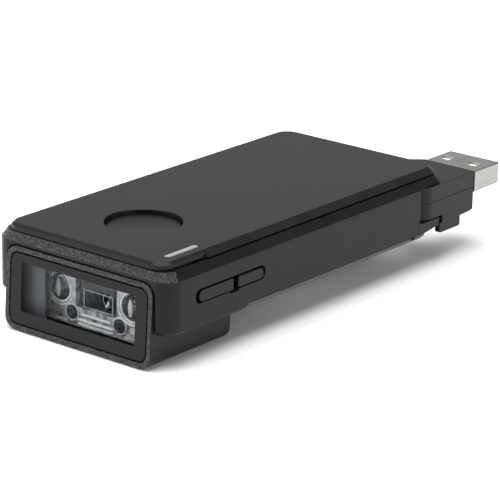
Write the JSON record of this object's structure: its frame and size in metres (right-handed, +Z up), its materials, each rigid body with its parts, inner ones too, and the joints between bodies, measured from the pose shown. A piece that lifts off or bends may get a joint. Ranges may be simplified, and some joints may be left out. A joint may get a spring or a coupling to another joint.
{
  "type": "pocket barcode scanner",
  "caption": "Pocket barcode scanner with a front scan window, round scan button, side keys and a USB-A plug on an arm that swings out from the rear corner.",
  "frame": {"origin": "middle of the overall length and width, at the height of the lowest face", "axes": "+Y from the scan window to the USB plug, +X to the side with the keys, +Z up through the top cover"},
  "size_m": [0.0424, 0.1018, 0.0195],
  "materials": {
    "cover": "satin black moulded plastic",
    "button": "satin black moulded plastic",
    "light_bar": "milky translucent plastic",
    "housing": "black plastic, spark-textured on the front shoulder",
    "bottom_cover": "black plastic",
    "label": "blank printed foil",
    "screw": "black zinc",
    "window_housing": "black plastic with a textured rim",
    "window_glass": "clear flat window",
    "mask": "black printed border",
    "engine_black": "moulded engine block",
    "clear_optic": "clear moulded optics",
    "barrel": "black lens barrel",
    "lens": "coated lens",
    "engine_screw": "dark plated",
    "circuit_board": "green solder mask",
    "flex": "polyimide film",
    "side_key": "satin black moulded plastic",
    "tin_can": "tinned sheet",
    "spring_steel": "bright",
    "led": "epoxy",
    "component_black": "moulded epoxy",
    "battery_wrap": "heat-shrunk film",
    "connector": "natural nylon",
    "pin_steel": "ground pin",
    "bushing": "acetal",
    "arm": "satin black moulded plastic",
    "plug_metal": "nickel-plated sheet",
    "plug_insulator": "white thermoplastic",
    "gold_contact": "gold flash"
  },
  "bodies": {
    "scanner_body": {"top_cover": "cover", "status_light_bar": "light_bar", "body_housing": "housing", "bottom_cover": "bottom_cover", "rating_label": "label", "case_screw_1": "screw", "case_screw_2": "screw", "case_screw_3": "screw", "case_screw_4": "screw", "scan_window_housing": "window_housing", "window_glass": "window_glass", "window_mask": "mask", "engine_chassis": "engine_black", "light_guide": "clear_optic", "aimer_lens_left": "clear_optic", "aimer_lens_right": "clear_optic", "imager_barrel": "barrel", "imager_lens": "lens", "engine_screw_left": "engine_screw", "engine_screw_right": "engine_screw", "engine_board": "circuit_board", "engine_flex": "flex", "side_switch_front": "tin_can", "side_switch_rear": "tin_can", "main_board": "circuit_board", "dome_switch": "spring_steel", "status_led": "led", "radio_module_can": "tin_can", "processor_can": "tin_can", "buzzer": "component_black", "memory_chip": "component_black", "battery_pack": "battery_wrap", "battery_connector": "connector", "hinge_bracket": "housing", "pivot_pin": "pin_steel"},
    "usb_arm": {"arm_upper_shell": "arm", "arm_lower_shell": "arm", "arm_board": "circuit_board", "pivot_bushing": "bushing", "usb_plug_shell": "plug_metal", "usb_insulator": "plug_insulator", "usb_contact_1": "gold_contact", "usb_contact_2": "gold_contact", "usb_contact_3": "gold_contact", "usb_contact_4": "gold_contact"},
    "scan_button": {"scan_button": "button"},
    "side_key_front": {"side_key_front": "side_key"},
    "side_key_rear": {"side_key_rear": "side_key"}
  },
  "joints": [
    {"name": "usb_arm_fold", "type": "hinge", "parent": "scanner_body", "child": "usb_arm", "pos_m": [0.01775, 0.0282, 0.0125], "axis": [0, 0, 1], "range_deg": [0, 90]},
    {"name": "scan_button_press", "type": "slide", "parent": "scanner_body", "child": "scan_button", "axis": [0, 0, -1], "range_m": [0, 0.0003], "stiffness_N_per_m": 900, "springref_m": -0.0008},
    {"name": "side_key_front_press", "type": "slide", "parent": "scanner_body", "child": "side_key_front", "axis": [-1, 0, 0], "range_m": [0, 0.0003], "stiffness_N_per_m": 900, "springref_m": -0.0008},
    {"name": "side_key_rear_press", "type": "slide", "parent": "scanner_body", "child": "side_key_rear", "axis": [-1, 0, 0], "range_m": [0, 0.0003], "stiffness_N_per_m": 900, "springref_m": -0.0008}
  ]
}
